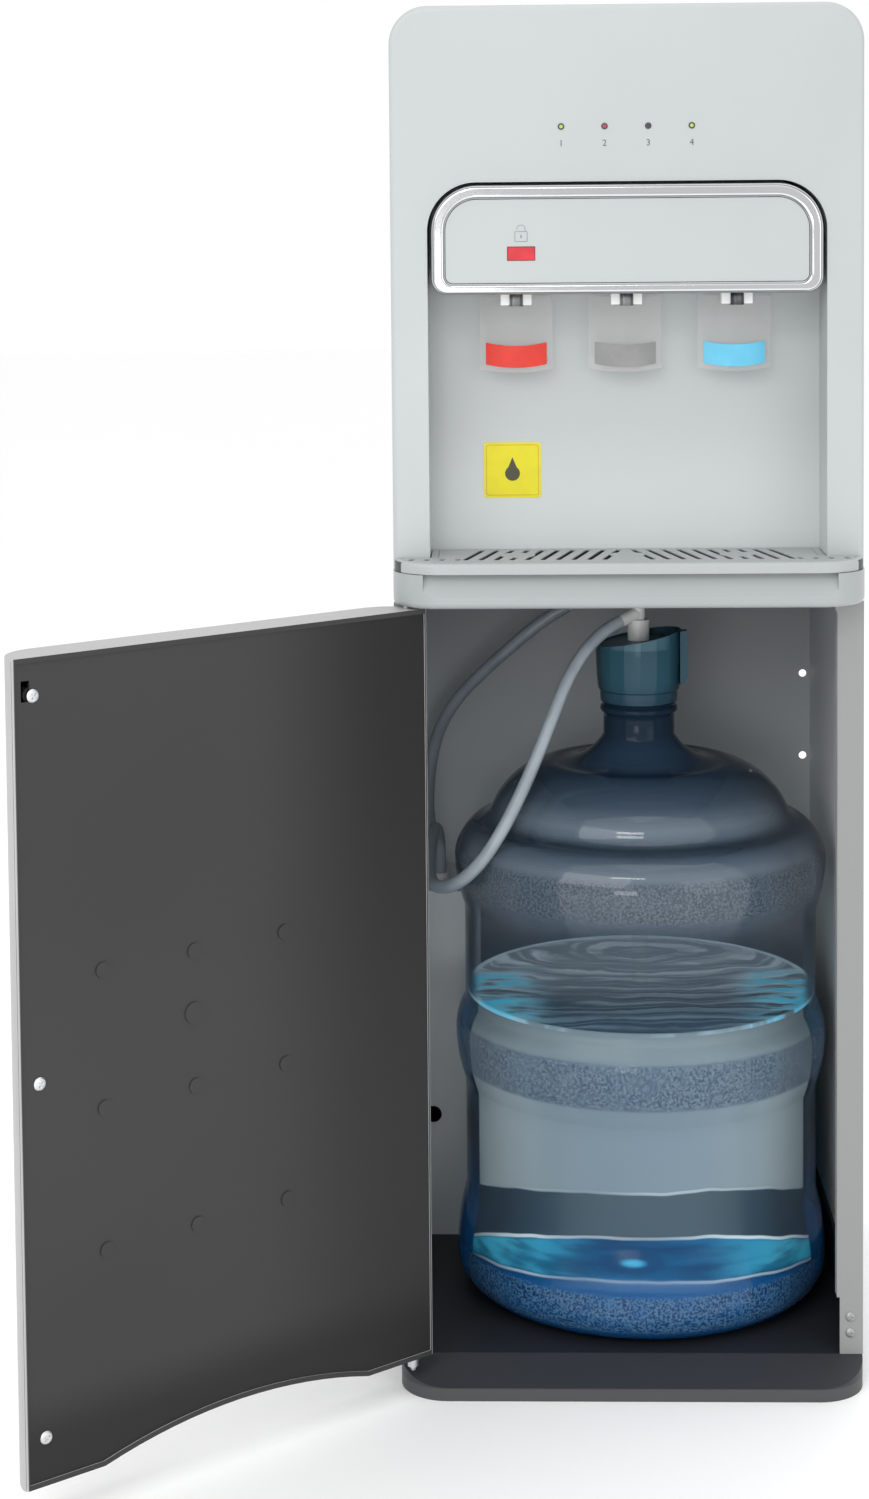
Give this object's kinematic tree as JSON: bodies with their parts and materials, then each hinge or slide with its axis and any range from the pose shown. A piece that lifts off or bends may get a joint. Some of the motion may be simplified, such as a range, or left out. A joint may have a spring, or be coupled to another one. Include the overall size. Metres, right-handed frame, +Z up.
{
  "type": "bottom load water cooler",
  "caption": "Floor-standing water cooler with a door open on the lower bay, a bottle with a pump hose inside, and levered taps over a drip tray.",
  "frame": {"origin": "on the floor under the middle of the cabinet's footprint", "axes": "+X to the right, +Y to the back, +Z up; the cabinet's front faces -Y"},
  "size_m": [0.5486, 0.546, 0.95],
  "materials": {
    "panel_grey": "satin powder coat",
    "shell_grey": "satin moulded shell",
    "niche_grey": "fine matte",
    "dark_plastic": "matte dark grey moulding",
    "bay_grey": "matte grey lining",
    "dark_metal": "satin dark coat",
    "box_grey": "satin light coat",
    "zinc": "bright zinc",
    "tank_steel": "brushed",
    "chrome": "bright chrome",
    "pod_grey": "satin",
    "plate_grey": "satin",
    "lens": "clear tinted lenses",
    "board_green": "board",
    "lock_red": "gloss",
    "tap_grey": "satin",
    "tab_red": "gloss",
    "tab_grey": "gloss",
    "tab_blue": "gloss",
    "foam": "open-cell foam",
    "jacket": "wrapped insulation",
    "black_enamel": "black enamel",
    "rubber": "rubber",
    "copper": "drawn tube",
    "line_white": "food-grade tube",
    "hose_clear": "soft translucent tube",
    "fitting_white": "gloss",
    "pump_dark": "matte",
    "switch_black": "gloss",
    "rocker_red": "gloss",
    "rocker_green": "gloss",
    "bottle_blue": "clear tinted, stippled bands",
    "water": "clear",
    "cap_teal": "translucent moulding",
    "probe_white": "gloss"
  },
  "bodies": {
    "cabinet": {"base_plinth": "dark_plastic", "side_panel_right": "panel_grey", "side_panel_left": "panel_grey", "bay_side_liners": "bay_grey", "rear_panel": "dark_metal", "bay_ceiling": "dark_metal", "tank_shelf": "zinc", "service_box": "box_grey", "water_pump": "pump_dark", "hose_fittings": "fitting_white", "hose_probe": "hose_clear", "hose_riser": "hose_clear", "hinge_pins": "zinc", "front_fascia": "shell_grey", "niche_liner": "niche_grey", "top_cover": "shell_grey", "indicator_lenses": "lens", "indicator_board": "board_green", "apron": "shell_grey", "pod_housing": "pod_grey", "chrome_bezel": "chrome", "pod_face_plate": "plate_grey", "lock_spring": "zinc", "tank_foam": "foam", "cold_tank": "tank_steel", "hot_tank": "tank_steel", "hot_jacket": "jacket", "compressor": "black_enamel", "compressor_mounts": "rubber", "cooling_circuit": "copper", "condenser": "black_enamel", "water_lines": "line_white", "drain_spigot": "fitting_white", "switch_plate": "switch_black", "panel_screws": "zinc", "tap_body_hot": "tap_grey", "tap_body_room": "tap_grey", "tap_body_cold": "tap_grey"},
    "door": {"door_skin": "panel_grey", "door_liner": "dark_plastic", "door_screws": "zinc"},
    "bottle": {"bottle": "bottle_blue", "water": "water", "bottle_cap": "cap_teal", "probe": "probe_white"},
    "lock_button": {"lock_button": "lock_red"},
    "drip_tray": {"drip_tray": "shell_grey"},
    "drip_grille": {"drip_grille": "shell_grey"},
    "rocker_hot": {"rocker_hot": "rocker_red"},
    "rocker_cold": {"rocker_cold": "rocker_green"},
    "drain_cap": {"drain_cap": "tap_grey"},
    "lever_hot": {"tap_lever_hot": "tap_grey", "tap_tab_hot": "tab_red"},
    "plunger_hot": {"tap_plunger_hot": "fitting_white"},
    "lever_room": {"tap_lever_room": "tap_grey", "tap_tab_room": "tab_grey"},
    "plunger_room": {"tap_plunger_room": "fitting_white"},
    "lever_cold": {"tap_lever_cold": "tap_grey", "tap_tab_cold": "tab_blue"},
    "plunger_cold": {"tap_plunger_cold": "fitting_white"}
  },
  "joints": [
    {"name": "door_hinge", "type": "hinge", "parent": "cabinet", "child": "door", "pos_m": [-0.151, -0.1515, 0.286], "axis": [0, 0, 1], "range_deg": [-15, 140.3]},
    {"name": "bottle_slide", "type": "slide", "parent": "cabinet", "child": "bottle", "axis": [0.0649, 0.9979, 0], "range_m": [-0.23, 0], "deforming": ["hose_probe"]},
    {"name": "drip_tray_lift", "type": "slide", "parent": "cabinet", "child": "drip_tray", "axis": [0, 0, 1], "range_m": [0, 0.04]},
    {"name": "drip_grille_lift", "type": "slide", "parent": "drip_tray", "child": "drip_grille", "axis": [0, 0, 1], "range_m": [0, 0.03]},
    {"name": "lock_button_press", "type": "slide", "parent": "cabinet", "child": "lock_button", "axis": [0, 1, 0], "range_m": [0, 0.0025], "stiffness_N_per_m": 400, "deforming": ["lock_spring"]},
    {"name": "tap_hot_lever", "type": "hinge", "parent": "cabinet", "child": "lever_hot", "pos_m": [-0.075, -0.105, 0.763], "axis": [1, 0, 0], "range_deg": [0, 9], "stiffness_Nm_per_rad": 0.6},
    {"name": "tap_room_lever", "type": "hinge", "parent": "cabinet", "child": "lever_room", "pos_m": [0, -0.105, 0.763], "axis": [1, 0, 0], "range_deg": [0, 9], "stiffness_Nm_per_rad": 0.6},
    {"name": "tap_cold_lever", "type": "hinge", "parent": "cabinet", "child": "lever_cold", "pos_m": [0.075, -0.105, 0.763], "axis": [1, 0, 0], "range_deg": [0, 9], "stiffness_Nm_per_rad": 0.6},
    {"name": "tap_hot_plunger", "type": "slide", "parent": "cabinet", "child": "plunger_hot", "axis": [0, 0, 1], "range_m": [0, 0.0014]},
    {"name": "tap_room_plunger", "type": "slide", "parent": "cabinet", "child": "plunger_room", "axis": [0, 0, 1], "range_m": [0, 0.0014]},
    {"name": "tap_cold_plunger", "type": "slide", "parent": "cabinet", "child": "plunger_cold", "axis": [0, 0, 1], "range_m": [0, 0.0014]},
    {"name": "rocker_hot_tilt", "type": "hinge", "parent": "cabinet", "child": "rocker_hot", "pos_m": [-0.105, 0.1714, 0.892], "axis": [1, 0, 0], "range_deg": [0, 20]},
    {"name": "rocker_cold_tilt", "type": "hinge", "parent": "cabinet", "child": "rocker_cold", "pos_m": [-0.079, 0.1714, 0.892], "axis": [1, 0, 0], "range_deg": [0, 20]},
    {"name": "drain_cap_pull", "type": "slide", "parent": "cabinet", "child": "drain_cap", "axis": [0, 1, 0], "range_m": [0, 0.02]}
  ],
  "couplings": [
    {"joint": "tap_hot_plunger", "follows": "tap_hot_lever", "m_per_rad": 0.0085},
    {"joint": "tap_room_plunger", "follows": "tap_room_lever", "m_per_rad": 0.0085},
    {"joint": "tap_cold_plunger", "follows": "tap_cold_lever", "m_per_rad": 0.0085}
  ]
}
